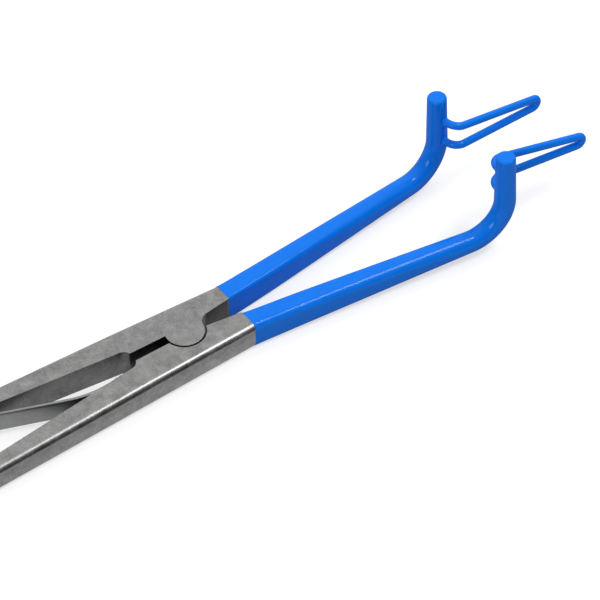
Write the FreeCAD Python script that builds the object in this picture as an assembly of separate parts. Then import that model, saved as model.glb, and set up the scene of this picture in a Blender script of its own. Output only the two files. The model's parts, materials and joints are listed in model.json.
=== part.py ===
import FreeCAD, Part
import math
import os

Vector = FreeCAD.Vector

# The part lies flat: Z is up, X runs along the instrument towards the blades, and the
# pivot axis stands at the origin. Arms are drawn on the +Y side and mirrored for -Y.

# Reach of the instrument from the pivot axis
tip_reach = 113.7
handle_reach = 126.0

# Arm at rest: each arm stands this many degrees open from the closed blades
rest_angle = 3.8

# Thickness of the forging at the joint, halfway back along the handle and at its end
joint_thickness = 7.3
mid_handle_thickness = 6.7
end_handle_thickness = 6.2

# Outer edge of the handle: half breadth at the pivot, its splay, and where it bows out
half_breadth = 9.0
outer_splay = 0.039
bow_start = 62.0
bow_out = 7.6
bow_power = 1.5
edge_radius = 1.5
front_half_breadth = 8.35

# Inner edge of the handle: half gap at the pivot line, its splay, and its bow
inner_offset = 1.2
inner_splay = 0.105
inner_bow = 1.2
handle_end_radius = 2.0
handle_steps = 6

# Slot behind the lap joint and the rounded recess that it opens into
slot_front_half = 1.22
slot_rear_half = 1.32
slot_rear_x = 14.3
recess_radius = 2.2

# Lap joint: a disc on one arm turns in a pocket of the other, half the thickness each
disc_radius = 4.75
seam = 0.5
lap_clearance = 0.04
web_radius = 3.2

# Inner edge of the shank just in front of the joint
notch_half = 1.5
shank_start = 14.3
shank_inner_half = 2.7

# Rivet through the lap joint
rivet_radius = 2.0
rivet_clearance = 0.05
rivet_head_radius = 2.8
rivet_head_depth = 1.1
rivet_head_land = 0.33
rivet_peen_radius = 2.4
rivet_peen_depth = 0.6

# Shank: plan slope, and coated width and height along it
shank_origin = 3.73
shank_slope = 0.1155
shank_mid_x = 42.0
shank_mid_width = 5.4
shank_mid_height = 6.7
shank_steps = 3
inner_corner = 0.8

# Post that rises at the end of the shank
bend_diameter = 5.4
post_diameter = 4.9
post_top = 27.8
post_top_x = 83.5
post_lean = 0.055
bend_radius = 9.7
post_rim = 0.7
bend_steps = 7
core_bend_steps = 5
rim_steps = 2

# Straight part between the arcs of a round section
ring_flat = 0.01

# Insulating coat, flush with the bare steel of the joint
coat = 0.3

# Hairpin blade of coated wire
wire_radius = 0.6
wire_coat = 0.4
blade_clearance = 0.3
upper_root = 21.6
lower_root = 15.0
tip_height = 15.0
hairpin_radius = 1.4
wire_bend = 3.2
wire_seat = 1.6
hairpin_steps = 7
wire_bend_steps = 3

# Leaf spring between the handles
leaf_thickness = 0.8
leaf_bottom = 0.95
leaf_top = 6.35
leaf_root_x = 16.8
leaf_lift_x = 28.0
leaf_rise = 0.374
leaf_gap = 0.2
leaf_tail = 9.0
leaf_lift_radius = 24.0
leaf_touch_radius = 40.0

# Screw that holds the leaf
screw_x = 19.3
screw_radius = 0.9
screw_depth = 3.6
screw_head_radius = 1.7
screw_head_height = 0.9
screw_slot = 0.5
screw_slot_depth = 0.5
screw_clearance = 0.05

# Ratchet: a toothed bar turns on a pin in one handle and passes through the other
ratchet_from_end = 13.5
bar_width = 3.8
bar_thickness = 2.0
bar_end_angle = 18.6
tooth_pitch = 0.95
tooth_depth = 0.8
tooth_crest = 0.12
first_tooth = -2
last_tooth = 13
tail_start_angle = 13.6
tail_end_angle = 17.0
tail_relief = 0.6
eye_radius = 2.3
pin_radius = 1.1
pin_clearance = 0.05
fork_clearance = 0.12
catch_clearance = 0.3
engage_angle = 1.3
window_room = 2.2
window_back = 1.2
window_reach_angle = 3.2
catch_start = 0.35
catch_stop = 0.93
catch_tip_clearance = 0.12
fork_room = 0.6
fork_swing = 1.0
pin_recess = 0.05
stop_pin_radius = 0.75
stop_pin_length = 5.0

mid_plane = joint_thickness / 2
pocket_radius = disc_radius + seam
ratchet_back = handle_reach - ratchet_from_end

# How far tools reach past the faces that they cut
past = 1.0


def arc_point(centre, radius, degrees, z=0.0):
    """Point at an angle on a level circle."""
    turn = math.radians(degrees)
    return Vector(centre.x + radius * math.cos(turn), centre.y + radius * math.sin(turn), z)


def line(a, b):
    return Part.LineSegment(a, b).toShape()


def prism(edges, low, high):
    """Solid that stands on a closed level outline, from one height to another."""
    face = Part.Face(Part.Wire(edges))
    face.translate(Vector(0, 0, low))
    return face.extrude(Vector(0, 0, high - low))


def polygon(points):
    """Straight edges that join the points and close on the first one."""
    ring = points + points[:1]
    return [line(a, b) for a, b in zip(ring, ring[1:])]


def clean(shape):
    """The shape as one plain solid with merged faces."""
    shape = shape.removeSplitter()
    return shape.Solids[0] if len(shape.Solids) == 1 else shape


def mirrored(shape):
    return shape.mirror(Vector(0, 0, 0), Vector(0, 1, 0))


def turned(shape, degrees, centre=Vector(0, 0, 0)):
    copy = shape.copy()
    copy.rotate(centre, Vector(0, 0, 1), degrees)
    return copy


def smooth_step(value):
    value = min(max(value, 0.0), 1.0)
    return value * value * (3 - 2 * value)


# Plan of the forging


def outer_edge(back):
    """Outer half breadth of the handle at a distance behind the pivot."""
    bow = max(back - bow_start, 0.0) / (handle_reach - bow_start)
    return half_breadth + outer_splay * back + bow_out * bow ** bow_power


def inner_edge(back):
    """Inner half gap of the handle at a distance behind the pivot."""
    bow = max(back - bow_start, 0.0) / (handle_reach - bow_start)
    return inner_offset + inner_splay * back + inner_bow * bow ** bow_power


def thickness(back):
    """Thickness of the handle at a distance behind the pivot."""
    if back <= bow_start:
        share = smooth_step((back - slot_rear_x) / (bow_start - slot_rear_x))
        return joint_thickness + (mid_handle_thickness - joint_thickness) * share
    share = (back - bow_start) / (handle_reach - bow_start)
    return mid_handle_thickness + (end_handle_thickness - mid_handle_thickness) * share


def half_section(x, outer, height):
    """Outline across the handle: flat on the middle plane, rounded at the outer edges."""
    r = edge_radius
    k = r * (1 - math.sqrt(0.5))
    a, b = Vector(x, 0, 0), Vector(x, outer - r, 0)
    c, d = Vector(x, outer, r), Vector(x, outer, height - r)
    e, f = Vector(x, outer - r, height), Vector(x, 0, height)
    low = Part.Arc(b, Vector(x, outer - k, k), c).toShape()
    high = Part.Arc(d, Vector(x, outer - k, height - k), e).toShape()
    return Part.Wire([line(a, b), low, line(c, d), high, line(e, f), line(f, a)])


def handle_backs():
    """Distances behind the pivot of the sections of the bowed handle, from its end forwards."""
    step = (handle_reach - bow_start) / handle_steps
    return [handle_reach - step * n for n in range(handle_steps + 1)]


def outer_form():
    """Outside of the handle and joint, from the handle end to the start of the shank."""
    backs = handle_backs() + [(bow_start + slot_rear_x) / 2, slot_rear_x, 0.0]
    sections = [half_section(-b, outer_edge(b), thickness(b)) for b in backs]
    sections.append(half_section(shank_start, front_half_breadth, joint_thickness))
    return Part.makeLoft(sections, True, True)


def handle_gap():
    """Space on the inner side of the handle, with the rounded end of the recess."""
    r = recess_radius
    lean = math.atan(inner_splay)
    # The rounding is tangent to the inner edge and to the end wall of the recess
    centre_x = -slot_rear_x - r
    centre = Vector(centre_x, inner_offset - inner_splay * centre_x - r / math.cos(lean), 0)
    wall = arc_point(centre, r, 0)
    middle = arc_point(centre, r, 45)
    touch = arc_point(centre, r, 90 - math.degrees(lean))
    edge = [Vector(-b, inner_edge(b), 0) for b in reversed(handle_backs())]
    edge.append(edge[-1] * 2 - edge[-2])
    low_rear, low_front = Vector(edge[-1].x, -past, 0), Vector(wall.x, -past, 0)
    outline = [touch] + edge + [low_rear, low_front, wall]
    edges = [Part.Arc(wall, middle, touch).toShape()]
    edges += [line(a, b) for a, b in zip(outline, outline[1:])]
    return prism(edges, -past, joint_thickness + past)


def rounding(before, corner, after, radius):
    """Start, middle, end and centre of the arc that rounds a corner."""
    back, on = (before - corner).normalize(), (after - corner).normalize()
    half = math.acos(max(-1.0, min(1.0, back.dot(on)))) / 2
    run = radius / math.tan(half)
    hub = corner + (back + on).normalize() * (radius / math.sin(half))
    middle = hub + (corner - hub).normalize() * radius
    return corner + back * run, middle, corner + on * run, hub


def corner_waste(before, corner, after, radius):
    """What the rounding of an upright corner takes away."""
    start, middle, end, hub = rounding(before, corner, after, radius)
    outside = [p + (p - hub).normalize() * past for p in (start, corner, end)]
    outline = [start] + outside + [end]
    edges = [line(a, b) for a, b in zip(outline, outline[1:])]
    return prism(edges + [Part.Arc(end, middle, start).toShape()], -past, joint_thickness + past)


def end_corners():
    """Waste of both rounded corners at the end of the handle."""
    last, before = handle_backs()[:2]
    outer, inner = Vector(-last, outer_edge(last), 0), Vector(-last, inner_edge(last), 0)
    outer_before = Vector(-before, outer_edge(before), 0)
    inner_before = Vector(-before, inner_edge(before), 0)
    return [corner_waste(outer_before, outer, inner, handle_end_radius),
            corner_waste(inner_before, inner, outer, handle_end_radius)]


def joint_gap():
    """Slot behind the joint and the open notch in front of it."""
    outline = [(-slot_rear_x - past, -past), (shank_start + past, -past),
               (shank_start + past, shank_inner_half), (shank_start, shank_inner_half),
               (disc_radius, notch_half), (0, slot_front_half), (-disc_radius, slot_front_half),
               (-slot_rear_x, slot_rear_half), (-slot_rear_x - past, slot_rear_half)]
    return prism(polygon([Vector(x, y, 0) for x, y in outline]), -past, joint_thickness + past)


def web_outline():
    """Fillet that runs from the disc to the inner edge of the shank."""
    a, b = Vector(disc_radius, notch_half, 0), Vector(shank_start, shank_inner_half, 0)
    along = (b - a).normalize()
    across = Vector(along.y, -along.x, 0)
    # The centre lies one fillet radius off the edge, and off the disc, from outside
    foot = a - along * a.dot(along)
    offset = foot + across * web_radius
    reach = math.sqrt((disc_radius + web_radius) ** 2 - offset.Length ** 2)
    centre = offset + along * reach
    on_edge = centre - across * web_radius
    on_disc = centre * (disc_radius / (disc_radius + web_radius))
    middle_way = (on_edge - centre).normalize() + (on_disc - centre).normalize()
    middle = centre + middle_way.normalize() * web_radius
    inside = Vector(0, disc_radius / 2, 0)
    within = Vector(on_edge.x, on_edge.y + past, 0)
    return [Part.Arc(on_disc, middle, on_edge).toShape(), line(on_edge, within),
            line(within, inside), line(inside, on_disc)]


# Shank, bend and post


def rounded_section(centre, side, up, width, height, outer_r, inner_r):
    """Rounded rectangle across the shank; outer_r rounds its two outer corners."""
    w, h = width / 2, height / 2
    k = 1 - math.sqrt(0.5)

    def at(a, b):
        return centre + side * a + up * b

    edges, ends = [], []
    for a, b, r in ((1, -1, outer_r), (1, 1, outer_r), (-1, 1, inner_r), (-1, -1, inner_r)):
        flat = at(a * (w - r), b * h)
        upright = at(a * w, b * (h - r))
        middle = at(a * (w - r * k), b * (h - r * k))
        first, last = (flat, upright) if a * b < 0 else (upright, flat)
        ends.append((first, last))
        edges.append(Part.Arc(first, middle, last).toShape())
    closed = []
    for n, edge in enumerate(edges):
        closed.append(edge)
        closed.append(line(ends[n][1], ends[(n + 1) % 4][0]))
    return Part.Wire(closed)


def shank_centre(x):
    return Vector(x, shank_origin + shank_slope * x, mid_plane)


def solid_loft(sections):
    """Ruled loft through the sections, turned the right way out."""
    body = Part.makeLoft(sections, True, True)
    if body.Volume < 0:
        body.reverse()
    return body


def post_corner():
    """Point where the line of the shank meets the line of the post."""
    x = post_top_x + post_lean * (post_top - mid_plane)
    return shank_centre(x)


def shank_line():
    """Start of the bend, direction of the shank, its side, and the turn up into the post."""
    ahead = Vector(1, shank_slope, 0).normalize()
    turn = math.pi / 2 + math.atan(post_lean)
    start = post_corner() - ahead * (bend_radius * math.tan(turn / 2))
    return start, ahead, Vector(-ahead.y, ahead.x, 0), turn


def shank_sections(inset):
    """Sections of the shank, each thinner all round by the inset."""
    start, ahead, side, _ = shank_line()
    width = front_half_breadth - shank_inner_half
    first = Vector(shank_start, (front_half_breadth + shank_inner_half) / 2, mid_plane)
    early = shank_centre((shank_start + shank_mid_x) / 2)
    rows = [(first, Vector(0, 1, 0), width, joint_thickness),
            (early, side, width, (joint_thickness + shank_mid_height) / 2)]
    for n in range(shank_steps):
        share = n / shank_steps
        rows.append((shank_centre(shank_mid_x + (start.x - shank_mid_x) * share), side,
                     shank_mid_width + (bend_diameter - shank_mid_width) * share,
                     shank_mid_height + (bend_diameter - shank_mid_height) * share))
    sections = []
    for n, (centre, across, w, h) in enumerate(rows):
        # The corners grow evenly until the section is round at the bend
        share = n / len(rows)
        outer_r, inner_r = (r + (bend_diameter / 2 - r) * share - inset for r in (edge_radius, inner_corner))
        sections.append(rounded_section(centre, across, Vector(0, 0, 1), w - 2 * inset, h - 2 * inset,
                                        outer_r, inner_r))
    return sections


def round_ring(centre, side, across, size):
    """Round section with the same edges as the rounded rectangles."""
    r = size / 2 - ring_flat
    return rounded_section(centre, side, across, size, size, r, r)


def post_line():
    """Where the bend ends and the post begins, and the direction of the post."""
    start, ahead, side, turn = shank_line()
    up = Vector(0, 0, 1)
    place = start + ahead * (bend_radius * math.sin(turn)) + up * (bend_radius * (1 - math.cos(turn)))
    return place, ahead * math.cos(turn) + up * math.sin(turn)


def shank_and_post(inset, steps):
    """Shank, bend and post as one body, thinner all round by the inset."""
    start, ahead, side, turn = shank_line()
    up = Vector(0, 0, 1)
    hub = start + up * bend_radius
    rings = []
    for n in range(steps + 1):
        a = turn * n / steps
        outward = ahead * math.sin(a) - up * math.cos(a)
        rings.append(round_ring(hub + outward * bend_radius, side, outward * -1,
                                bend_diameter - 2 * inset))
    place, rise = post_line()
    across = side.cross(rise)
    rim = post_rim - inset
    shoulder = place + rise * ((post_top - post_rim - place.z) / rise.z)
    for n in range(rim_steps + 1):
        a = math.pi / 2 * n / rim_steps
        rings.append(round_ring(shoulder + rise * (rim * math.sin(a)), side, across,
                                post_diameter - 2 * inset - 2 * rim * (1 - math.cos(a))))
    return solid_loft(shank_sections(inset) + rings)


# Blade of hairpin wire


def rounded_path(points, radii):
    """Straight runs joined by tangent arcs; the radii belong to the inner points."""
    edges, here = [], points[0]
    for before, corner, after, r in zip(points, points[1:], points[2:], radii):
        start, middle, end, _ = rounding(before, corner, after, r)
        edges += [line(here, start), Part.Arc(start, middle, end).toShape()]
        here = end
    return edges + [line(here, points[-1])]


def closed_to_rest(point):
    """A point of the closed blade, carried to where the arm stands at rest."""
    a = math.radians(rest_angle)
    return Vector(point.x * math.cos(a) - point.y * math.sin(a),
                  point.x * math.sin(a) + point.y * math.cos(a), point.z)


def post_axis_closed(z):
    """Where the post's axis stands at a height, with the blades closed."""
    place, rise = post_line()
    point = place + rise * ((z - place.z) / rise.z)
    a = math.radians(-rest_angle)
    return Vector(point.x * math.cos(a) - point.y * math.sin(a),
                  point.x * math.sin(a) + point.y * math.cos(a), z)


def tangent_apex(low, high, hub, r):
    """Point where the lines from two roots, tangent to the hairpin's circle, meet."""
    lines = []
    for root, sign in ((high, 1), (low, -1)):
        dx, dz = hub.x - root.x, hub.z - root.z
        distance = math.hypot(dx, dz)
        angle = math.atan2(dz, dx) + sign * math.asin(r / distance)
        lines.append((root.x, root.z, math.tan(angle)))
    (xa, za, ma), (xb, zb, mb) = lines
    x = (zb - za + ma * xa - mb * xb) / (ma - mb)
    return x, za + ma * (x - xa)


def blade_path():
    """Centre line of the hairpin wire, from its upper seat in the post to its lower one."""
    plane = wire_radius + wire_coat + blade_clearance
    upper, lower = post_axis_closed(upper_root), post_axis_closed(lower_root)
    tip = tip_reach - hairpin_radius - wire_radius - wire_coat
    hub = Vector(tip, plane, tip_height)
    high, low = Vector(upper.x, plane, upper_root), Vector(lower.x, plane, lower_root)
    apex_x, apex_z = tangent_apex(low, high, hub, hairpin_radius)
    points = [Vector(upper.x, upper.y - (post_diameter / 2 - coat) + wire_seat, upper_root), high,
              Vector(apex_x, plane, apex_z), low,
              Vector(lower.x, lower.y - (post_diameter / 2 - coat) + wire_seat, lower_root)]
    return rounded_path([closed_to_rest(p) for p in points],
                        [wire_bend, hairpin_radius, wire_bend])


def round_bar(edges, radius, steps):
    """Round bar along straight runs and arcs; steps holds how often each edge is divided."""
    places = []
    for edge, count in zip(edges, steps):
        first, last = edge.FirstParameter, edge.LastParameter
        for n in range(count):
            t = first + (last - first) * n / count
            places.append((edge.valueAt(t), edge.tangentAt(t)))
    places.append((edges[-1].valueAt(last), edges[-1].tangentAt(last)))
    across = places[0][1].cross(Vector(0, 0, 1)).normalize()
    rings = []
    for centre, ahead in places:
        # Each ring keeps as near as it can to the direction of the one before
        across = (across - ahead * across.dot(ahead)).normalize()
        rings.append(round_ring(centre, across, ahead.cross(across), 2 * radius))
    return solid_loft(rings)


# Rivet of the lap joint


def rivet_form(clearance):
    """Rivet with a countersunk head below and a flush peened end above."""
    r, head, peen = rivet_radius + clearance, rivet_head_radius + clearance, rivet_peen_radius
    top = joint_thickness
    rings = [Vector(0, 0, 0), Vector(head, 0, 0), Vector(head, 0, rivet_head_land),
             Vector(r, 0, rivet_head_depth), Vector(r, 0, top - rivet_peen_depth),
             Vector(peen + clearance, 0, top), Vector(0, 0, top)]
    return Part.Face(Part.Wire(polygon(rings))).revolve(Vector(0, 0, 0), Vector(0, 0, 1), 360)


# Ratchet


def on_ratchet(radius, degrees):
    """Level point at a radius about the pivot; the angle is taken from the -X line."""
    a = math.radians(degrees)
    return Vector(-radius * math.cos(a), radius * math.sin(a), 0)


def band(inner, outer, first, last, low, high):
    """Part of a level ring about the pivot."""
    middle = (first + last) / 2
    near = [on_ratchet(inner, angle) for angle in (first, middle, last)]
    far = [on_ratchet(outer, angle) for angle in (last, middle, first)]
    edges = [Part.Arc(*near).toShape(), line(near[-1], far[0]),
             Part.Arc(*far).toShape(), line(far[-1], near[0])]
    return prism(edges, low, high)


ratchet_middle = (outer_edge(ratchet_back) + inner_edge(ratchet_back)) / 2
ratchet_radius = math.hypot(ratchet_back, ratchet_middle)
ratchet_angle = math.degrees(math.atan2(ratchet_middle, ratchet_back))
bar_low = (end_handle_thickness - bar_thickness) / 2
bar_high = bar_low + bar_thickness
bar_outer = ratchet_radius + bar_width / 2
bar_inner = ratchet_radius - bar_width / 2
pin_centre = on_ratchet(ratchet_radius, -ratchet_angle)


def ratchet_bar():
    """Curved bar with saw teeth on its rear edge, a lower tail and an eye for its pin."""
    bar = band(bar_inner, bar_outer, -ratchet_angle, bar_end_angle, bar_low, bar_high)
    eye = Part.makeCylinder(eye_radius, bar_thickness, pin_centre + Vector(0, 0, bar_low))
    end = on_ratchet(ratchet_radius, bar_end_angle) + Vector(0, 0, bar_low)
    bar = bar.fuse([eye, Part.makeCylinder(bar_width / 2, bar_thickness, end)])
    root = bar_outer - tooth_depth
    low, high = bar_low - past, bar_high + past
    cuts = [band(root - tail_relief, bar_outer + past, tail_start_angle, tail_end_angle, low, high)]
    for n in range(first_tooth, last_tooth + 1):
        start, stop = (n + tooth_crest) * tooth_pitch, (n + 1) * tooth_pitch
        cuts.append(prism(polygon([on_ratchet(bar_outer, start), on_ratchet(root, stop),
                                   on_ratchet(bar_outer + past, stop),
                                   on_ratchet(bar_outer + past, start)]), low, high))
    hole = Part.makeCylinder(pin_radius + pin_clearance, high - low, pin_centre + Vector(0, 0, low))
    return clean(bar.cut(cuts + [hole, stop_pin()]))


def stop_pin():
    """Pin across the free end of the bar, which keeps it in its window."""
    place = on_ratchet(ratchet_radius, bar_end_angle)
    low = (bar_low + bar_high - stop_pin_length) / 2
    return Part.makeCylinder(stop_pin_radius, stop_pin_length, place + Vector(0, 0, low))


def ratchet_pin():
    length = end_handle_thickness - 2 * pin_recess
    return Part.makeCylinder(pin_radius, length, pin_centre + Vector(0, 0, pin_recess))


def window():
    """Opening in the handle for the bar, with one catch tooth at its rear."""
    first, last = ratchet_angle - window_reach_angle, ratchet_angle + window_reach_angle
    outer = bar_outer + window_back
    slot = band(bar_inner - window_room, outer, first, last,
                bar_low - fork_clearance, bar_high + fork_clearance)
    # The catch stands where a tooth gap lies once the bar is swung into mesh
    gap = math.floor(ratchet_angle / tooth_pitch)
    start, stop = (gap + catch_start) * tooth_pitch, (gap + catch_stop) * tooth_pitch
    low, high = bar_low - past, bar_high + past
    outline = polygon([on_ratchet(bar_outer - tooth_depth + catch_tip_clearance, stop),
                       on_ratchet(outer + past, stop), on_ratchet(outer + past, start),
                       on_ratchet(bar_outer, start)])
    catch = turned(prism(outline, low, high), engage_angle, pin_centre)
    keep = band(bar_outer + catch_clearance, outer + 2 * past, first, last, low, high)
    return slot.cut(catch.common(keep))


def fork():
    """Slot in the other handle for the eye of the bar."""
    low, high = bar_low - fork_clearance, bar_high + fork_clearance
    swing = bar_width / 2 + fork_swing
    pocket = Part.makeCylinder(eye_radius + fork_room, high - low, pin_centre + Vector(0, 0, low))
    return pocket.fuse(band(ratchet_radius - swing, ratchet_radius + swing,
                            -ratchet_angle, 0, low, high))


# Leaf spring and its screw


def leaf_line(offset):
    """Corners of the leaf's line in plan, from its root on the -Y handle, moved sideways."""
    half = leaf_thickness / 2 * math.hypot(1, inner_splay)
    near = Vector(-leaf_root_x, half - inner_edge(leaf_root_x), 0)
    lift = Vector(-leaf_lift_x, half - inner_edge(leaf_lift_x), 0)
    # The rising part meets the line that runs along the far handle's inner edge
    far = inner_offset - half - leaf_gap
    back = (far - lift.y + leaf_rise * leaf_lift_x) / (leaf_rise - inner_splay)
    touch = Vector(-back, far + inner_splay * back, 0)
    end = touch + Vector(-1, 0, 0) * leaf_tail
    points = [near, lift, touch, end]
    moved = []
    for n, point in enumerate(points):
        runs = [(b - a).normalize() for a, b in zip(points, points[1:]) if point in (a, b)]
        normals = [Vector(-run.y, run.x, 0) for run in runs]
        total = normals[0] + normals[-1]
        moved.append(point + total * (offset * 2 / total.Length ** 2))
    return moved


def leaf():
    """Flat strip bent to cross the gap between the handles."""
    half = leaf_thickness / 2
    sides = []
    for sign in (1, -1):
        radii = [leaf_lift_radius + sign * half, leaf_touch_radius - sign * half]
        sides.append(rounded_path(leaf_line(sign * half), radii))
    one, two = sides
    ends = [line(leaf_line(half)[n], leaf_line(-half)[n]) for n in (0, -1)]
    outline = Part.sortEdges(one + two + ends)[0]
    return prism(outline, leaf_bottom, leaf_top).cut(screw_hole(screw_radius + screw_clearance))


def screw_frame():
    """Foot of the screw on the handle's inner face, and its direction out of the face."""
    foot = Vector(-screw_x, -inner_edge(screw_x), (leaf_bottom + leaf_top) / 2)
    return foot, Vector(-inner_splay, 1, 0).normalize()


def screw_hole(radius):
    foot, out = screw_frame()
    length = screw_depth + leaf_thickness + past
    return Part.makeCylinder(radius, length, foot - out * screw_depth, out)


def screw():
    """Cheese head screw with a driver slot."""
    foot, out = screw_frame()
    length = screw_depth + leaf_thickness
    shank = Part.makeCylinder(screw_radius, length, foot - out * screw_depth, out)
    base = foot + out * leaf_thickness
    head = Part.makeCylinder(screw_head_radius, screw_head_height, base, out)
    slot = Part.makeBox(screw_slot, screw_slot_depth * 2, 4 * screw_head_radius)
    slot.translate(Vector(-screw_slot / 2, -screw_slot_depth, -2 * screw_head_radius))
    slot.rotate(Vector(0, 0, 0), Vector(0, 0, 1), math.degrees(math.atan2(-out.x, out.y)))
    slot.translate(base + out * screw_head_height)
    return clean(shank.fuse(head).cut(slot))


# Arms


def half_lap(disc_on_top):
    """Disc and web of one arm, and the pocket that it needs for the other arm's disc."""
    if disc_on_top:
        low, high = mid_plane + lap_clearance, joint_thickness
        below, above = -past, low
    else:
        low, high = 0.0, mid_plane - lap_clearance
        below, above = high, joint_thickness + past
    disc = Part.makeCylinder(disc_radius, high - low, Vector(0, 0, low))
    pocket = Part.makeCylinder(pocket_radius, above - below, Vector(0, 0, below))
    return disc.fuse(prism(web_outline(), low, high)), pocket


def arm(disc_on_top, steel, wire):
    """One forged arm on the +Y side, without the holes of its small pieces."""
    disc, pocket = half_lap(disc_on_top)
    body = outer_form().cut([handle_gap(), joint_gap()] + end_corners())
    return body.cut(pocket).fuse([disc, steel]).cut(wire)


def build():
    rivet = rivet_form(0.0)
    path = blade_path()
    arcs = [1, wire_bend_steps, 1, hairpin_steps, 1, wire_bend_steps, 1]
    wire = round_bar(path, wire_radius, arcs)
    coated_wire = round_bar(path, wire_radius + wire_coat, arcs)
    steel = shank_and_post(coat, core_bend_steps)
    coated = shank_and_post(0.0, bend_steps)
    blade = coated_wire.cut([coated, wire])
    coat_shell = coated.cut([steel, wire])
    upper = arm(True, steel, wire).cut([rivet, window()])
    lower = mirrored(arm(False, steel, wire))
    lower = lower.cut([rivet_form(rivet_clearance), fork(), ratchet_pin(), screw_hole(screw_radius)])
    return {
        "upper_arm": clean(upper),
        "lower_arm": clean(lower),
        "pivot_rivet": rivet,
        "upper_blade_wire": wire,
        "lower_blade_wire": mirrored(wire),
        "upper_blade_coat": blade,
        "lower_blade_coat": mirrored(blade),
        "upper_shank_coat": coat_shell,
        "lower_shank_coat": mirrored(coat_shell),
        "leaf_spring": leaf(),
        "leaf_screw": screw(),
        "ratchet_bar": ratchet_bar(),
        "ratchet_pin": ratchet_pin(),
        "ratchet_stop_pin": stop_pin(),
    }


os.makedirs("parts", exist_ok=True)
for name, shape in build().items():
    box = shape.BoundBox
    print(name, "solids", len(shape.Solids), "valid", shape.isValid(), "volume", round(shape.Volume, 2),
          "x", round(box.XMin, 1), round(box.XMax, 1), "y", round(box.YMin, 1), round(box.YMax, 1),
          "z", round(box.ZMin, 2), round(box.ZMax, 2))
    shape.exportStep("parts/" + name + ".step")
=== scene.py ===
import json
import math

import bmesh
import bpy
import numpy as np
from mathutils import Matrix, Vector

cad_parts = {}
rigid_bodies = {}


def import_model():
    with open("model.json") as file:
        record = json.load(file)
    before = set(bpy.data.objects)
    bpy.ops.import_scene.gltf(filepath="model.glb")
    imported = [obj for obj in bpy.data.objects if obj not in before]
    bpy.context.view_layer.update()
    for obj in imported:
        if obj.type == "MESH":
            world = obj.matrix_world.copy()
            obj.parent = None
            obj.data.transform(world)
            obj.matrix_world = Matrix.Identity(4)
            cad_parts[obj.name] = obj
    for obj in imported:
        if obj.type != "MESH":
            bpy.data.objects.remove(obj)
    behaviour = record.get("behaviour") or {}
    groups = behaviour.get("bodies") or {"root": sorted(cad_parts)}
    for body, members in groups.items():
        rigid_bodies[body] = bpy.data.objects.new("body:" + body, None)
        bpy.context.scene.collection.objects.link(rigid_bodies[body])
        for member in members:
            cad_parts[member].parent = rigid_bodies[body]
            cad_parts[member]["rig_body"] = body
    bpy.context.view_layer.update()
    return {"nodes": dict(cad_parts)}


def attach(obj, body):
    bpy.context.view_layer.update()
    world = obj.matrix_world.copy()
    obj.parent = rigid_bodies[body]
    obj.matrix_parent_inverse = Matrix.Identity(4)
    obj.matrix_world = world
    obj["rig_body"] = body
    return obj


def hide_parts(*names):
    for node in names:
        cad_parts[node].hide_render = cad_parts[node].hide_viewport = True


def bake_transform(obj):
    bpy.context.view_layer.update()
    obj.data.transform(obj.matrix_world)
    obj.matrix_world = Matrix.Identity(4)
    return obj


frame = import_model()
print("frame loaded:", len(frame["nodes"]), "nodes")

mm = 0.001  # all shape values below are in millimetres

# Camera, seen from the handle side and above
camera = {
    "azimuth": 35.45,        # degrees the view turns from +Y towards +X
    "elevation": 45.73,      # degrees the view looks down
    "frameWidth": 600.0,     # pixels
    "focal": 2400.0,         # focal length in pixels of that frame
    "pivotPixel": (184.6, 330.8),
    "scale": 4.295,          # pixels for each millimetre at the pivot
    "pivotTop": 7.3,         # height of the pivot's top face
    "sensor": 36.0,
    "clip": (0.01, 20.0),    # metres
}


# Puts the pivot's top face on its pixel, at the distance that its scale asks for
def placeCamera(c):
    half = c["frameWidth"] / 2
    a, e = math.radians(c["azimuth"]), math.radians(c["elevation"])
    right = Vector((math.cos(a), -math.sin(a), 0))
    ahead = Vector((math.sin(a) * math.cos(e), math.cos(a) * math.cos(e), -math.sin(e)))
    up = right.cross(ahead)
    distance = c["focal"] / c["scale"]
    u, v = c["pivotPixel"]
    offset = right * ((u - half) / c["focal"]) + up * ((half - v) / c["focal"]) + ahead
    place = Vector((0, 0, c["pivotTop"])) - offset * distance
    data = bpy.data.cameras.new("camera")
    data.sensor_width = c["sensor"]
    data.lens = c["focal"] / c["frameWidth"] * data.sensor_width
    data.clip_start, data.clip_end = c["clip"]
    eye = bpy.data.objects.new("camera", data)
    turn = Matrix((right, up, -ahead)).transposed()
    eye.matrix_world = Matrix.Translation(place * mm) @ turn.to_4x4()
    bpy.context.scene.collection.objects.link(eye)
    bpy.context.scene.camera = eye
    return eye


eye = placeCamera(camera)
print("camera placed at", [round(x, 4) for x in eye.matrix_world.translation])


# Vectors divided by their own length
def unit(v):
    return v / np.linalg.norm(v, axis=-1, keepdims=True)


# Piece from points in millimetres that stands for a CAD node and rides on its body.
# The -Y side is the +Y side with y turned round and its faces wound the other way.
def addPiece(name, verts, faces, node, body, mirror=False):
    verts = np.asarray(verts, float).reshape(-1, 3) * mm
    if mirror:
        verts = verts * np.array([1.0, -1.0, 1.0])
        faces = [face[::-1] for face in faces]
    mesh = bpy.data.meshes.new(name)
    mesh.from_pydata(verts.tolist(), [], faces)
    mesh.validate()
    mesh.polygons.foreach_set("use_smooth", [True] * len(mesh.polygons))
    obj = bpy.data.objects.new(name, mesh)
    bpy.context.scene.collection.objects.link(obj)
    if body:
        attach(obj, body)
    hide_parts(node)
    return obj


# Quads between successive closed rings of a grid, wound outwards, and both end caps
def gridFaces(rows, cols):
    r, c = np.meshgrid(np.arange(rows - 1), np.arange(cols), indexing="ij")
    n = (c + 1) % cols
    quads = np.stack([r * cols + c, r * cols + n, (r + 1) * cols + n, (r + 1) * cols + c], -1)
    faces = quads.reshape(-1, 4).tolist()
    faces.append(list(range(cols))[::-1])
    faces.append(list(range((rows - 1) * cols, rows * cols)))
    return faces


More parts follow.
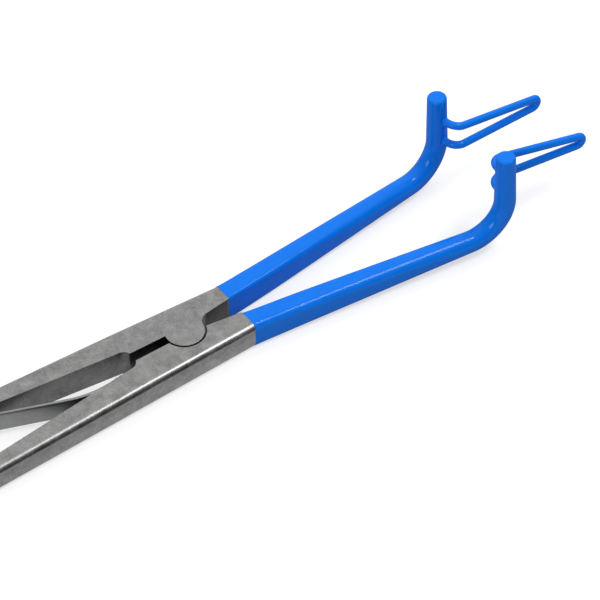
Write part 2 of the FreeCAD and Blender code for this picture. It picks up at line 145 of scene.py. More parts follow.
# A ring of points for each station of a sweep: a rounded rectangle whose corners are arcs about
# centres that stand in from the corner by its radius, with even points on the sides between
def ringPoints(width, height, outerRadius, innerRadius, cornerPoints=9, sidePoints=3):
    w, h, ro, ri = np.broadcast_arrays(*(np.atleast_1d(np.asarray(v, float))[:, None]
                                         for v in (width, height, outerRadius, innerRadius)))
    corners = []
    for a, b, r, begin in ((1, -1, ro, -90), (1, 1, ro, 0), (-1, 1, ri, 90), (-1, -1, ri, 180)):
        t = np.radians(np.linspace(begin, begin + 90, cornerPoints))
        corners.append(np.stack([a * (w / 2 - r) + r * np.cos(t), b * (h / 2 - r) + r * np.sin(t)], -1))
    ring = []
    for n, corner in enumerate(corners):
        t = np.linspace(0, 1, sidePoints + 2)[1:-1, None]
        ring += [corner, corner[:, -1:] * (1 - t) + corners[(n + 1) % 4][:, :1] * t]
    return np.concatenate(ring, 1)


# Carries each ring to its station: centre plus side times its first value plus up times its second
def sweep(centres, sides, ups, rings):
    return centres[:, None] + sides[:, None] * rings[..., :1] + ups[:, None] * rings[..., 1:]


# Straight runs joined by tangent arcs, as points and unit directions. An arc starts its radius
# divided by the tangent of half the angle at the corner away from that corner.
def roundedPath(points, radii, arcSteps, runStep):
    places, here = [], points[0]
    for before, corner, after, radius, steps in zip(points, points[1:], points[2:], radii, arcSteps):
        back, on = unit(before - corner), unit(after - corner)
        half = math.acos(float(np.dot(back, on))) / 2
        start = corner + back * (radius / math.tan(half))
        hub = corner + unit(back + on) * (radius / math.sin(half))
        run = np.linalg.norm(start - here)
        t = np.linspace(0, 1, max(2, int(run / runStep)), endpoint=False)[:, None]
        places.append(here + (start - here) * t)
        turn = math.pi - 2 * half
        a = np.linspace(0, turn, steps, endpoint=False)[:, None]
        places.append(hub + unit(start - hub) * radius * np.cos(a) - back * radius * np.sin(a))
        here = corner + on * (radius / math.tan(half))
    t = np.linspace(0, 1, max(2, int(np.linalg.norm(points[-1] - here) / runStep)))[:, None]
    places.append(here + (points[-1] - here) * t)
    centres = np.concatenate(places)
    return centres, unit(np.gradient(centres, axis=0))


# Side vectors along a path, each as near as it can be to the one before
def carriedSides(directions, first):
    sides = [first]
    for direction in directions:
        sides.append(unit(sides[-1] - direction * np.dot(sides[-1], direction)))
    return np.array(sides[1:])


# Shank, bend and post

shank = {
    "start": 14.3, "startInner": 2.7, "startOuter": 8.35,    # where the coat begins, and its sides there
    "thickness": 7.3,                                 # height there, as the arm's
    "origin": 3.73, "slope": 0.1155,                  # line that shank and post stand on
    "midX": 42.0, "midWidth": 5.4, "midHeight": 6.7,  # a station on the way
    "outerCorner": 1.5, "innerCorner": 0.8,           # corner radii where the coat begins
    "roundness": (0, 0.2, 0.4, 1),                    # how far each station's corners are on the way to round
    "flat": 0.01,                                     # least flat left on each side of a section's middle
    "bendDiameter": 5.4, "postDiameter": 4.9, "postTop": 27.8, "postTopX": 83.5, "postLean": 0.055,
    "bend": 9.7, "rim": 0.7,                          # radii
    "lip": 0.09, "lipFade": 1.4,                      # how far the coat's edge stands proud, and fades over
    "lipSteps": 5, "afterLip": 0.4, "straightStep": 1.5, "beforeBend": 0.5,
    "bendSteps": 28, "postSteps": 8, "rimSteps": 8,
}


# Start of the bend, the level direction and the turn. The bend starts before the corner by its
# radius times the tangent of half the turn.
def shankLine(s):
    ahead = unit(np.array([1.0, s["slope"], 0.0]))
    mid = s["thickness"] / 2
    x = s["postTopX"] + s["postLean"] * (s["postTop"] - mid)
    corner = np.array([x, s["origin"] + s["slope"] * x, mid])
    turn = math.pi / 2 + math.atan(s["postLean"])
    start = corner - ahead * (s["bend"] * math.tan(turn / 2))
    return start, ahead, turn


# Foot of the post's straight part and the direction of its axis: the end of the arc that the turn
# draws from the bend's start, and the level direction turned up as far
def postLine(s):
    start, ahead, turn = shankLine(s)
    up = np.array([0.0, 0.0, 1.0])
    foot = start + ahead * (s["bend"] * math.sin(turn)) + up * (s["bend"] * (1 - math.cos(turn)))
    return foot, ahead * math.cos(turn) + up * math.sin(turn)


# Value that runs through given points along x, with its corners rounded off: the mean of the
# values at shifted places, whose shift fades to nothing at both ends
def softInterp(x, xs, values, reach=5.0, samples=11):
    shifts = np.linspace(-reach, reach, samples)
    fade = np.clip(np.minimum(x - xs[0], xs[-1] - x) / reach, 0, 1)
    return np.mean([np.interp(x + shift * fade, xs, values) for shift in shifts], axis=0)


# Coat of shank and post: rounded rectangles along the level line, a round section turned about
# the bend's centre, the leaning post, and a quarter circle that closes its rim
def shankCoat(s):
    start, ahead, turn = shankLine(s)
    side, up = np.array([-ahead[1], ahead[0], 0.0]), np.array([0.0, 0.0, 1.0])
    size, postSize = s["bendDiameter"], s["postDiameter"]
    full = size / 2
    width = s["startOuter"] - s["startInner"]
    early = (s["start"] + s["midX"]) / 2
    xs = np.array([s["start"], early, s["midX"], start[0]])
    a = np.linspace(0, math.pi / 2, s["lipSteps"])
    x = np.concatenate([s["start"] + s["lip"] * (1 - np.cos(a)),
                        np.arange(s["start"] + s["afterLip"], start[0] - s["beforeBend"], s["straightStep"]),
                        start[:1]])
    w = softInterp(x, xs, [width, width, s["midWidth"], size])
    h = softInterp(x, xs, [s["thickness"], (s["thickness"] + s["midHeight"]) / 2, s["midHeight"], size])
    share = softInterp(x, xs, s["roundness"])
    outer = s["outerCorner"] + (full - s["outerCorner"]) * share
    inner = s["innerCorner"] + (full - s["innerCorner"]) * share
    line = s["origin"] + s["slope"] * x
    middle = (s["startOuter"] + s["startInner"]) / 2
    fade = np.clip((x - s["start"]) / (early - s["start"]), 0, 1)
    y = line + (middle - s["origin"] - s["slope"] * s["start"]) * (1 - fade)
    angle = math.atan(s["slope"]) * fade
    # The coat's edge rises as a quarter circle and sinks back behind it
    d = x - s["start"]
    rise = np.sqrt(np.clip(1 - (1 - np.clip(d / s["lip"], 0, 1)) ** 2, 0, 1))
    proud = s["lip"] * rise * np.exp(-d / s["lipFade"])
    limit = np.minimum(w, h) / 2 - s["flat"]
    rings = [ringPoints(w + 2 * proud, h + proud, np.minimum(outer, limit), np.minimum(inner, limit))]
    centres = [np.stack([x, y, s["thickness"] / 2 + proud / 2], -1)]
    sides = [np.stack([-np.sin(angle), np.cos(angle), 0 * x], -1)]
    ups = [np.broadcast_to(up, (len(x), 3))]
    # Bend, post and rim
    a = np.linspace(0, turn, s["bendSteps"] + 1)[1:, None]
    outward = ahead * np.sin(a) - up * np.cos(a)
    centres.append(start + up * s["bend"] + outward * s["bend"])
    ups.append(-outward)
    foot, rising = postLine(s)
    shoulder = foot + rising * ((s["postTop"] - s["rim"] - foot[2]) / rising[2])
    t = np.linspace(0, 1, s["postSteps"] + 1)[1:, None]
    centres.append(foot + (shoulder - foot) * t)
    a = np.linspace(0, math.pi / 2, s["rimSteps"] + 1)[1:]
    centres.append(shoulder + rising * (s["rim"] * np.sin(a))[:, None])
    sizes = np.concatenate([np.full(s["bendSteps"], size), size + (postSize - size) * t[:, 0],
                            postSize - 2 * s["rim"] * (1 - np.cos(a))])
    ups.append(np.broadcast_to(-outward[-1], (len(t) + s["rimSteps"], 3)))
    sides.append(np.broadcast_to(side, (len(sizes), 3)))
    rings.append(ringPoints(sizes, sizes, sizes / 2 - s["flat"], sizes / 2 - s["flat"]))
    rings = np.concatenate(rings)
    verts = sweep(np.concatenate(centres), np.concatenate(sides), np.concatenate(ups), rings)
    return verts, gridFaces(*verts.shape[:2])


coatVerts, coatFaces = shankCoat(shank)
pieces = {}
pieces["upperCoat"] = addPiece("upper_coat_skin", coatVerts, coatFaces, "upper_shank_coat", "upper_arm")
pieces["lowerCoat"] = addPiece("lower_coat_skin", coatVerts, coatFaces, "lower_shank_coat", "lower_arm",
                               mirror=True)
print("shank coats made:", len(coatVerts), "rings each")

# Hairpin blades of coated wire

blade = {
    "wire": 0.6, "coat": 0.4,                         # radius and thickness
    "clearance": 0.3,                                 # from the closed blades' middle plane
    "upperRoot": 21.6, "lowerRoot": 15.0,             # heights of both ends on the post
    "tipReach": 113.7, "tipHeight": 15.0,             # tip with the blades closed
    "hairpin": 1.4, "rootBend": 3.2,                  # radii at the tip and beside the post
    "restAngle": 3.8,                                 # degrees each arm stands open
    "sink": 0.25,                                     # how far the skin starts inside the post's
    "flare": 0.12, "flareReach": 0.9, "flarePower": 2.5,
    "ringPoints": 28, "rootSteps": 14, "tipSteps": 40, "straightStep": 0.6,
}


# Points turned about the pivot axis by an angle: x and y mixed by its cosine and sine
def turned(points, degrees):
    a = math.radians(degrees)
    turn = np.array([[math.cos(a), math.sin(a), 0], [-math.sin(a), math.cos(a), 0], [0, 0, 1]])
    return np.asarray(points) @ turn


# Point where the two lines from the roots, tangent to the hairpin's circle, meet. Each is turned off
# the way to the circle's centre by the arcsine of radius over distance.
def hairpinApex(low, high, hub, r):
    lines = []
    for root, sign in ((high, 1), (low, -1)):
        dx, dz = hub[0] - root[0], hub[2] - root[2]
        angle = math.atan2(dz, dx) + sign * math.asin(r / math.hypot(dx, dz))
        lines.append((root[0], root[2], math.tan(angle)))
    (xa, za, ma), (xb, zb, mb) = lines
    x = (zb - za + ma * xa - mb * xb) / (ma - mb)
    return x, za + ma * (x - xa)


# Skin of a hairpin: a round section carried from the post out, round the tip and back. Where it
# meets the post it is wider, by a power of what is left of the flare's reach.
def hairpinSkin(b, s):
    foot, rising = postLine(s)
    radius = b["wire"] + b["coat"]
    plane = radius + b["clearance"]
    roots = []
    for height in (b["upperRoot"], b["lowerRoot"]):
        onAxis = foot + rising * ((height - foot[2]) / rising[2])
        roots.append(turned(onAxis, -b["restAngle"]))
    high, low = (np.array([r[0], plane, r[2]]) for r in roots)
    hub = np.array([b["tipReach"] - b["hairpin"] - radius, plane, b["tipHeight"]])
    apexX, apexZ = hairpinApex(low, high, hub, b["hairpin"])
    points = turned([roots[0], high, [apexX, plane, apexZ], low, roots[1]], b["restAngle"])
    radii = [b["rootBend"], b["hairpin"], b["rootBend"]]
    steps = [b["rootSteps"], b["tipSteps"], b["rootSteps"]]
    centres, directions = roundedPath(points, radii, steps, b["straightStep"])
    # Distance from the post's surface
    offset = centres - foot
    away = np.linalg.norm(offset - (offset @ rising)[:, None] * rising, axis=-1) - s["postDiameter"] / 2
    keep = away > -b["sink"]
    centres, directions, away = centres[keep], directions[keep], away[keep]
    left = np.clip(1 - np.clip(away, 0, None) / b["flareReach"], 0, 1)
    r = radius + b["flare"] * left ** b["flarePower"]
    sides = carriedSides(directions, unit(np.cross(directions[0], [0.0, 0.0, 1.0])))
    ups = np.cross(directions, sides)
    t = np.linspace(0, 2 * math.pi, b["ringPoints"], endpoint=False)
    rings = r[:, None, None] * np.stack([np.cos(t), np.sin(t)], -1)
    verts = sweep(centres, sides, ups, rings)
    return verts, gridFaces(*verts.shape[:2])


bladeVerts, bladeFaces = hairpinSkin(blade, shank)
pieces["upperBlade"] = addPiece("upper_blade_skin", bladeVerts, bladeFaces, "upper_blade_coat", "upper_arm")
pieces["lowerBlade"] = addPiece("lower_blade_skin", bladeVerts, bladeFaces, "lower_blade_coat", "lower_arm",
                                mirror=True)
print("blades made:", len(bladeVerts), "rings each")

# Leaf spring

leaf = {
    "thickness": 0.8, "bottom": 0.95, "top": 6.35,
    "root": 16.8, "lift": 28.0, "rise": 0.374,        # where it leaves the handle, and its slope from there
    "gap": 0.2, "tail": 9.0,                          # off the far handle, and on along it
    "liftRadius": 24.0, "touchRadius": 40.0,
    "innerOffset": 1.2, "innerSplay": 0.105,          # line of the handles' inner faces
    "edge": 0.22, "endInset": 0.6,                    # edge radius, and the share of it drawn in at the ends
    "liftSteps": 24, "touchSteps": 16, "straightStep": 0.8, "cornerPoints": 4, "sidePoints": 6,
}


# Leaf: a rounded rectangle carried along two tangent arcs, drawn in at both ends. Its line runs along
# the near handle's inner face, crosses at its slope, and runs on along the far handle's.
def leafSurface(s):
    half = s["thickness"] / 2 * math.hypot(1, s["innerSplay"])
    near = [-s["root"], half - s["innerOffset"] - s["innerSplay"] * s["root"], 0]
    lift = [-s["lift"], half - s["innerOffset"] - s["innerSplay"] * s["lift"], 0]
    far = s["innerOffset"] - half - s["gap"]
    back = (far - lift[1] + s["rise"] * s["lift"]) / (s["rise"] - s["innerSplay"])
    touch = [-back, far + s["innerSplay"] * back, 0]
    end = [touch[0] - s["tail"], touch[1], 0]
    points = np.array([near, lift, touch, end], float)
    centres, directions = roundedPath(points, [s["liftRadius"], s["touchRadius"]],
                                      [s["liftSteps"], s["touchSteps"]], s["straightStep"])
    height = s["top"] - s["bottom"]
    # Both ends repeat their first ring, drawn in
    drawnIn = s["edge"] * s["endInset"]
    inset = np.zeros(len(centres) + 2)
    inset[[0, -1]] = drawnIn
    centres = np.concatenate([centres[:1], centres, centres[-1:]])
    directions = np.concatenate([directions[:1], directions, directions[-1:]])
    centres[1] += directions[0] * drawnIn
    centres[-2] -= directions[-1] * drawnIn
    centres[:, 2] = (s["bottom"] + s["top"]) / 2
    sides = np.stack([-directions[:, 1], directions[:, 0], 0 * directions[:, 0]], -1)
    ups = np.broadcast_to([0.0, 0.0, 1.0], sides.shape)
    corner = s["edge"] * (1 - inset)
    rings = ringPoints(s["thickness"] - inset, height - inset, corner, corner,
                       s["cornerPoints"], s["sidePoints"])
    verts = sweep(centres, sides, ups, rings)
    return verts, gridFaces(*verts.shape[:2]), points * mm


leafVerts, leafFaces, leafPoints = leafSurface(leaf)
pieces["leaf"] = addPiece("leaf_strip", leafVerts, leafFaces, "leaf_spring", None)
print("leaf made:", len(leafVerts), "rings")

# Forged and turned steel pieces

steelPieces = {
    # node: (new name, width of the broken edges, slot)
    "upper_arm": ("upper_forging", 0.14, "forged_steel"),
    "lower_arm": ("lower_forging", 0.14, "forged_steel"),
    "pivot_rivet": ("rivet_body", 0.0, "forged_steel"),
    "leaf_screw": ("screw_body", 0.07, "pin_steel"),
    "ratchet_bar": ("toothed_bar", 0.07, "spring_steel"),
    "ratchet_pin": ("hinge_pin", 0.12, "pin_steel"),
    "ratchet_stop_pin": ("cross_pin", 0.12, "pin_steel"),
}
edges = {
    "sharp": 32.0,           # edges that turn more than this many degrees are broken
    "level": 0.4,            # faces that turn less than this many degrees are joined
    "merge": 0.002,          # points nearer than this are one
    "shortest": 0.01,        # shorter edges stay as they are
    "rivetZone": 3.1,        # no edge is broken this near the pivot axis on the top face
    "rivetDepth": 0.05,      # and this near the top face
    "segments": 2, "profile": 0.5, "flatWeight": 80,
}


# Whether an edge's middle lies in the round zone of the rivet's flush end
def onFlushRivet(edge):
    middle = (edge.verts[0].co + edge.verts[1].co) / 2
    below = (shank["thickness"] - edges["rivetDepth"]) * mm
    return math.hypot(middle.x, middle.y) < edges["rivetZone"] * mm and middle.z > below


# Copy of a CAD node with its points merged, flat areas joined and sharp edges broken by a small round
def brokenEdges(node, name, width):
    source = frame["nodes"][node]
    work = bmesh.new()
    work.from_mesh(source.data)
    bmesh.ops.remove_doubles(work, verts=work.verts, dist=edges["merge"] * mm)
    level, sharpAngle = math.radians(edges["level"]), math.radians(edges["sharp"])
    bmesh.ops.dissolve_limit(work, angle_limit=level, verts=work.verts, edges=work.edges)
    if width:
        sharp = [e for e in work.edges if len(e.link_faces) == 2 and e.calc_face_angle(0) > sharpAngle
                 and not onFlushRivet(e) and e.calc_length() > edges["shortest"] * mm]
        bmesh.ops.bevel(work, geom=sharp, offset=width * mm, offset_type="OFFSET", segments=edges["segments"],
                        profile=edges["profile"], affect="EDGES", clamp_overlap=True)
    mesh = bpy.data.meshes.new(name)
    work.to_mesh(mesh)
    work.free()
    mesh.polygons.foreach_set("use_smooth", [True] * len(mesh.polygons))
    mesh.set_sharp_from_angle(angle=sharpAngle)
    obj = bpy.data.objects.new(name, mesh)
    bpy.context.scene.collection.objects.link(obj)
    weigh = obj.modifiers.new("faceWeights", "WEIGHTED_NORMAL")
    weigh.keep_sharp = True
    weigh.weight = edges["flatWeight"]
    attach(obj, source["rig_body"])
    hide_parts(node)
    return obj


for node, (name, width, slotName) in steelPieces.items():
    pieces[node] = brokenEdges(node, name, width)
print("steel pieces made:", len(steelPieces))


# Adds nodes to a tree; inputs are given by name as values or as sockets to link
def nodeAdder(tree):
    def add(kind, inputs=None, **settings):
        node = tree.nodes.new(kind)
        for key, value in settings.items():
            setattr(node, key, value)
        for key, value in (inputs or {}).items():
            if isinstance(value, bpy.types.NodeSocket):
                tree.links.new(value, node.inputs[key])
            else:
                node.inputs[key].default_value = value
        return node
    return add


# One operation on sockets or values
def calc(add, operation, *values):
    return add("ShaderNodeMath", dict(enumerate(values)), operation=operation).outputs[0]


# Value that runs from low to high while the given one runs between its ends, and stays there beyond
def ranged(add, value, ends, low, high, kind="LINEAR"):
    levels = {"Value": value, "From Min": ends[0], "From Max": ends[1], "To Min": low, "To Max": high}
    return add("ShaderNodeMapRange", levels, interpolation_type=kind).outputs["Result"]


# Noise at a place on the piece
def noise(add, place, settings):
    return add("ShaderNodeTexNoise", {"Vector": place, **settings}).outputs["Fac"]


# New shader group with named float inputs and outputs
def newGroup(name, inputs, outputs):
    tree = bpy.data.node_groups.new(name, "ShaderNodeTree")
    for key in inputs:
        tree.interface.new_socket(name=key, in_out="INPUT", socket_type="NodeSocketFloat")
    for key in outputs:
        tree.interface.new_socket(name=key, in_out="OUTPUT", socket_type="NodeSocketFloat")
    add = nodeAdder(tree)
    return tree, add, add("NodeGroupInput").outputs, add("NodeGroupOutput").inputs


satin = {
    "scales": ("Patch Scale", "Grain Scale", "Stroke Scale"),
    "stretch": (0.035, 1.0, 1.0),            # strokes are long along X
    "strokes": {"Detail": 3.0, "Roughness": 0.6},
    "grain": {"Detail": 2.0},
    "patches": {"Detail": 6.0, "Roughness": 0.74, "Distortion": 0.4},
    "strokeShare": 0.55, "grainShare": 0.45,
    "patchRange": (0.32, 0.68), "grainRange": (0.3, 0.7),
}


# Satin finish: long fine strokes along the piece, a fine grain, and soft uneven patches. The
# height is the sum of strokes and grain, each times its share.
def satinGroup(f):
    tree, add, given, out = newGroup("satinFinish", f["scales"], ("Height", "Patches", "Grain"))
    place = add("ShaderNodeTexCoord").outputs["Object"]
    stretched = add("ShaderNodeMapping", {"Vector": place, "Scale": f["stretch"]}).outputs["Vector"]
    strokes = noise(add, stretched, {"Scale": given["Stroke Scale"], **f["strokes"]})
    grain = noise(add, place, {"Scale": given["Grain Scale"], **f["grain"]})
    patches = noise(add, place, {"Scale": given["Patch Scale"], **f["patches"]})
    height = calc(add, "MULTIPLY", strokes, f["strokeShare"])
    height = calc(add, "MULTIPLY_ADD", grain, f["grainShare"], height)
    spread = ranged(add, patches, f["patchRange"], 0.0, 1.0)
    for key, value in (("Height", height), ("Patches", spread), ("Grain", grain)):
        tree.links.new(value, out[key])
    return tree


gap = {
    "Near": 0.5, "Far": 1.1,                 # off the inner faces' line, where the share fades
    "Low": 5.4, "High": 6.0,                 # height below which level faces count too
    "Joint Reach": 13.6, "Joint End": 15.2,  # from the pivot along X, where the joint's share fades
}
# Painted shade: faces between the arms and in the joint's notch are darkened to these shares of their colour.
gapShadeTones = {"Inner": 0.66, "Joint": 0.34}    # colour left on such faces
uprightRange = (0.25, 0.6)                   # size of the normal's Z where a face stops being upright


# How far a face looks into the gap between the arms: near the line of the inner faces, and either
# upright or below the top face. It stands off that line by Y's size less that of X times the splay,
# less the offset. Joint counts the joint alone, and Wall the upright faces alone. Inner and Joint
# mark where shade is painted into the steel's colour; Wall keeps those walls out of the crown's bump.
def gapGroup():
    tree, add, given, out = newGroup("gapFaces", gap, ("Inner", "Joint", "Wall"))
    where = add("ShaderNodeTexCoord").outputs
    x, y, z = add("ShaderNodeSeparateXYZ", {0: where["Object"]}).outputs
    along, across = calc(add, "ABSOLUTE", x), calc(add, "ABSOLUTE", y)
    line = calc(add, "MULTIPLY_ADD", along, leaf["innerSplay"], leaf["innerOffset"] * mm)
    near = ranged(add, calc(add, "SUBTRACT", across, line), (given["Near"], given["Far"]), 1.0, 0.0)
    normal = add("ShaderNodeSeparateXYZ", {0: where["Normal"]}).outputs[2]
    upright = ranged(add, calc(add, "ABSOLUTE", normal), uprightRange, 1.0, 0.0)
    low = ranged(add, z, (given["Low"], given["High"]), 1.0, 0.0)
    inner = calc(add, "MULTIPLY", near, calc(add, "MAXIMUM", upright, low))
    here = ranged(add, along, (given["Joint Reach"], given["Joint End"]), 1.0, 0.0)
    joint = calc(add, "MULTIPLY", inner, here)
    wall = calc(add, "MULTIPLY", near, upright)
    for key, value in (("Inner", inner), ("Joint", joint), ("Wall", wall)):
        tree.links.new(value, out[key])
    return tree


satinFinish = satinGroup(satin)
gapFaces = gapGroup()
print("shader groups made:", len(bpy.data.node_groups))


# Empty material with its tree, its node adder and its shader
def newMaterial(name):
    material = bpy.data.materials.new(name)
    material.use_nodes = True
    tree = material.node_tree
    return material, tree, nodeAdder(tree), tree.nodes["Principled BSDF"]


# Colour that runs between two others with a factor
def blendedColour(add, factor, first, second):
    colours = {"Factor": factor, 6: (*first, 1), 7: (*second, 1)}    # 6 and 7 are the colour sockets
    return add("ShaderNodeMix", colours, data_type="RGBA").outputs[2]


# Colour times a factor that changes over the surface
def scaledColour(add, colour, factor):
    return add("ShaderNodeVectorMath", {0: colour, "Scale": factor}, operation="SCALE").outputs[0]


# Normal of the arms' outer sides: height falls smoothly from the low level to the high one, and both
# levels follow the handle's taper along X. The walls in the gap are left flat.
def crownNormal(add, c, wall):
    place = add("ShaderNodeSeparateXYZ", {0: add("ShaderNodeTexCoord").outputs["Object"]}).outputs
    level = calc(add, "MULTIPLY_ADD", place["X"], c["taper"], place["Z"])
    rise = ranged(add, level, (c["low"] * mm, c["high"] * mm), 1.0, 0.0, "SMOOTHSTEP")
    rise = calc(add, "MULTIPLY", rise, calc(add, "SUBTRACT", 1.0, wall))
    belly = add("ShaderNodeBump", {"Height": rise, "Strength": 1.0, "Distance": c["depth"] * mm})
    return belly.outputs["Normal"]


# Metal whose colour and roughness run between two values with the patches, with the grain as fine
# specks. With a crown, upright faces bulge a little and faces in the gap are darkened with painted shade.
def metalMaterial(name, m):
    material, tree, add, shader = newMaterial(name)
    finish = add("ShaderNodeGroup", node_tree=satinFinish)
    for key in satin["scales"]:
        finish.inputs[key].default_value = m[key]
    patches, grain = finish.outputs["Patches"], finish.outputs["Grain"]
    colour = blendedColour(add, patches, m["dark"], m["light"])
    speck = ranged(add, grain, satin["grainRange"], 1 - m["speck"], 1 + m["speck"])
    colour = scaledColour(add, colour, speck)
    bump = add("ShaderNodeBump", {"Height": finish.outputs["Height"], "Strength": m["bump"],
                                  "Distance": m["bumpDepth"] * mm})
    if "crown" in m:
        faces = add("ShaderNodeGroup", node_tree=gapFaces)
        for key, length in gap.items():
            faces.inputs[key].default_value = length * mm
        # Painted shade: darkens the colour on faces in the gap between the arms and in the joint.
        for key, shadeTone in gapShadeTones.items():
            left = ranged(add, faces.outputs[key], (0.0, 1.0), 1.0, shadeTone)
            colour = scaledColour(add, colour, left)
        tree.links.new(crownNormal(add, m["crown"], faces.outputs["Wall"]), bump.inputs["Normal"])
    tree.links.new(colour, shader.inputs["Base Color"])
    tree.links.new(ranged(add, patches, (0.0, 1.0), *m["rough"]), shader.inputs["Roughness"])
    shader.inputs["Metallic"].default_value = 1.0
    tree.links.new(bump.outputs["Normal"], shader.inputs["Normal"])
    return material


# Scales of the patterns count per metre. Colours and roughness run from patch to patch.
forged = {
    "Patch Scale": 300.0, "Grain Scale": 2600.0, "Stroke Scale": 1500.0, "speck": 0.15,
    "dark": (0.150, 0.150, 0.149), "light": (0.270, 0.2685, 0.266), "rough": (0.27, 0.39),
    "bump": 0.35, "bumpDepth": 0.02,
    "crown": {"low": 2.4, "high": 7.4, "depth": 1.4, "taper": -0.0095},  # heights, depth, and slope along X
}
spring = {
    "Patch Scale": 400.0, "Grain Scale": 7000.0, "Stroke Scale": 2400.0, "speck": 0.05,
    "dark": (0.20, 0.203, 0.206), "light": (0.245, 0.248, 0.251), "rough": (0.30, 0.38),
    "bump": 0.3, "bumpDepth": 0.015,
}
pin = {
    "Patch Scale": 700.0, "Grain Scale": 9000.0, "Stroke Scale": 3000.0, "speck": 0.04,
    "dark": (0.36, 0.36, 0.355), "light": (0.44, 0.44, 0.435), "rough": (0.22, 0.30),
    "bump": 0.2, "bumpDepth": 0.01,
}
wire = {
    "Patch Scale": 700.0, "Grain Scale": 9000.0, "Stroke Scale": 3000.0, "speck": 0.04,
    "dark": (0.46, 0.46, 0.46), "light": (0.56, 0.56, 0.55), "rough": (0.28, 0.36),
    "bump": 0.2, "bumpDepth": 0.01,
}
insulation = {
    "deep": (0.002, 0.142, 0.655), "bright": (0.004, 0.170, 0.740), "rough": (0.30, 0.40),
    "patches": {"Scale": 160.0, "Detail": 3.0},
    "waves": {"Scale": 380.0, "Detail": 2.0, "Roughness": 0.4}, "waveRange": (0.3, 0.7),
    "grain": {"Scale": 3800.0, "Detail": 2.0}, "grainShare": 0.06,
    "bump": 0.22, "bumpDepth": 0.05,
    "specular": 0.0, "coat": 0.13, "coatIor": 1.7, "coatRough": 0.11,
}


# Coat of dipped nylon: slow waves from the dip, a faint grain, and a little gloss on top. The
# height is the waves plus the grain times its share.
def insulationMaterial(name, m):
    material, tree, add, shader = newMaterial(name)
    place = add("ShaderNodeTexCoord").outputs["Object"]
    patches, waves, grain = (noise(add, place, m[key]) for key in ("patches", "waves", "grain"))
    tree.links.new(blendedColour(add, patches, m["deep"], m["bright"]), shader.inputs["Base Color"])
    tree.links.new(ranged(add, waves, m["waveRange"], *m["rough"]), shader.inputs["Roughness"])
    height = calc(add, "MULTIPLY_ADD", grain, m["grainShare"], waves)
    bump = add("ShaderNodeBump", {"Height": height, "Strength": m["bump"], "Distance": m["bumpDepth"] * mm})
    tree.links.new(bump.outputs["Normal"], shader.inputs["Normal"])
    shader.inputs["Specular IOR Level"].default_value = m["specular"]
    shader.inputs["Coat Weight"].default_value = m["coat"]
    shader.inputs["Coat IOR"].default_value = m["coatIor"]
    shader.inputs["Coat Roughness"].default_value = m["coatRough"]
    return material


materials = {
    "forged_steel": metalMaterial("satinForgedSteel", forged),
    "spring_steel": metalMaterial("springSteel", spring),
    "pin_steel": metalMaterial("turnedPinSteel", pin),
    "wire_steel": metalMaterial("drawnWireSteel", wire),
    "blue_insulation": insulationMaterial("dippedBlueNylon", insulation),
}


# Leaves the piece with this material alone
def paint(obj, material):
    obj.data.materials.clear()
    obj.data.materials.append(material)


for key in ("upperCoat", "lowerCoat", "upperBlade", "lowerBlade"):
    paint(pieces[key], materials["blue_insulation"])
paint(pieces["leaf"], materials["spring_steel"])
for node, settings in steelPieces.items():
    paint(pieces[node], materials[settings[-1]])
for node in ("upper_blade_wire", "lower_blade_wire"):
    for entry in frame["nodes"][node].material_slots:
        entry.material = materials["wire_steel"]
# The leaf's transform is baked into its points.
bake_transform(pieces["leaf"])
print("materials made:", len(materials))

# Floor, light and background

studio = {
    "floor": (0.45, 0.45, 0.45), "floorRough": 0.9, "floorSpecular": 0.1,
    "floorSize": 3.0, "floorDrop": 0.00002,                   # metres
    "floorGlow": 0.54,                                        # brings the floor to white where it is seen
    "key": {"toward": (0.42, -0.22, 0.88), "distance": 0.95, "size": (0.30, 0.22), "power": 3.5},
    "fill": {"toward": (-0.75, -0.45, 0.48), "distance": 1.1, "size": (0.50, 0.40), "power": 5.5},
    "aim": (0.02, 0, 0.01),                                   # where both soft boxes look, in metres
    "sky": 0.36, "skyRange": (0.35, 0.8),                     # overhead, from these directions' Z up
    "farSky": 0.45, "nearSky": 0.02, "nearRange": (-0.6, 0.4),  # at the horizon, along Y
    "panel": 0.95, "panelToward": (0.405, 0.569, 0.716), "panelEdge": (0.30, 0.90),
}


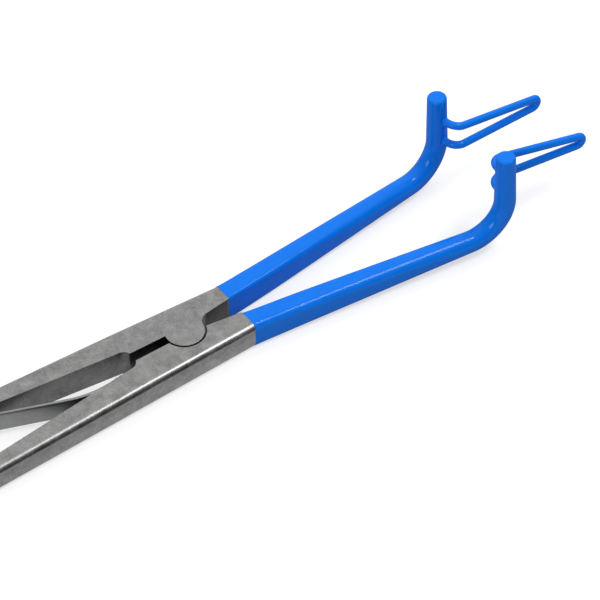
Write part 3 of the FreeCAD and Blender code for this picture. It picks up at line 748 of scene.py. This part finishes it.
# Level square a little below the instrument, which glows where it is seen or mirrored
def floorAndBackground(s):
    size, drop = s["floorSize"], s["floorDrop"]
    mesh = bpy.data.meshes.new("floor")
    corners = [(-size, -size, -drop), (size, -size, -drop), (size, size, -drop), (-size, size, -drop)]
    mesh.from_pydata(corners, [], [(0, 1, 2, 3)])
    floor = bpy.data.objects.new("floor", mesh)
    bpy.context.scene.collection.objects.link(floor)
    material, tree, add, shader = newMaterial("paleFloor")
    shader.inputs["Base Color"].default_value = (*s["floor"], 1)
    shader.inputs["Roughness"].default_value = s["floorRough"]
    shader.inputs["Specular IOR Level"].default_value = s["floorSpecular"]
    rays = add("ShaderNodeLightPath").outputs
    seen = rays["Is Camera Ray"]
    for kind in ("Is Glossy Ray", "Is Transmission Ray"):
        seen = calc(add, "MAXIMUM", seen, rays[kind])
    shader.inputs["Emission Color"].default_value = (1, 1, 1, 1)
    tree.links.new(calc(add, "MULTIPLY", seen, s["floorGlow"]), shader.inputs["Emission Strength"])
    paint(floor, material)


# Light from each direction: near to far side at the horizon, one level overhead, and a soft panel
# that grows with the cosine towards its middle. The camera sees white.
def studioWorld(s):
    world = bpy.data.worlds.new("studio")
    world.use_nodes = True
    bpy.context.scene.world = world
    tree = world.node_tree
    add = nodeAdder(tree)
    background = tree.nodes["Background"]
    way = add("ShaderNodeTexCoord").outputs["Generated"]
    parts = add("ShaderNodeSeparateXYZ", {0: way}).outputs
    side = ranged(add, parts["Y"], s["nearRange"], s["nearSky"], s["farSky"], "SMOOTHSTEP")
    high = ranged(add, parts["Z"], s["skyRange"], 0.0, 1.0, "SMOOTHSTEP")
    level = add("ShaderNodeMix", {"Factor": high, "A": side, "B": s["sky"]}, data_type="FLOAT").outputs[0]
    facing = add("ShaderNodeVectorMath", {0: way, 1: s["panelToward"]}, operation="DOT_PRODUCT")
    panel = ranged(add, facing.outputs["Value"], s["panelEdge"], 0.0, s["panel"], "SMOOTHSTEP")
    level = calc(add, "ADD", level, panel)
    seen = add("ShaderNodeLightPath").outputs["Is Camera Ray"]
    level = add("ShaderNodeMix", {"Factor": seen, "A": level, "B": 1.0}, data_type="FLOAT").outputs[0]
    tree.links.new(level, background.inputs["Strength"])
    background.inputs["Color"].default_value = (1, 1, 1, 1)


# Soft box that looks at the aim from the given direction, at the given distance in metres
def softBox(name, b, aim):
    data = bpy.data.lights.new(name, "AREA")
    data.shape = "RECTANGLE"
    data.size, data.size_y = b["size"]
    data.energy = b["power"]
    lamp = bpy.data.objects.new(name, data)
    toward = Vector(b["toward"]).normalized()
    lamp.location = Vector(aim) + toward * b["distance"]
    lamp.rotation_euler = toward.to_track_quat("Z", "Y").to_euler()
    bpy.context.scene.collection.objects.link(lamp)


floorAndBackground(studio)
studioWorld(studio)
softBox("keyBox", studio["key"], studio["aim"])
softBox("fillBox", studio["fill"], studio["aim"])
bpy.context.scene.view_settings.view_transform = "Standard"
print("studio made")
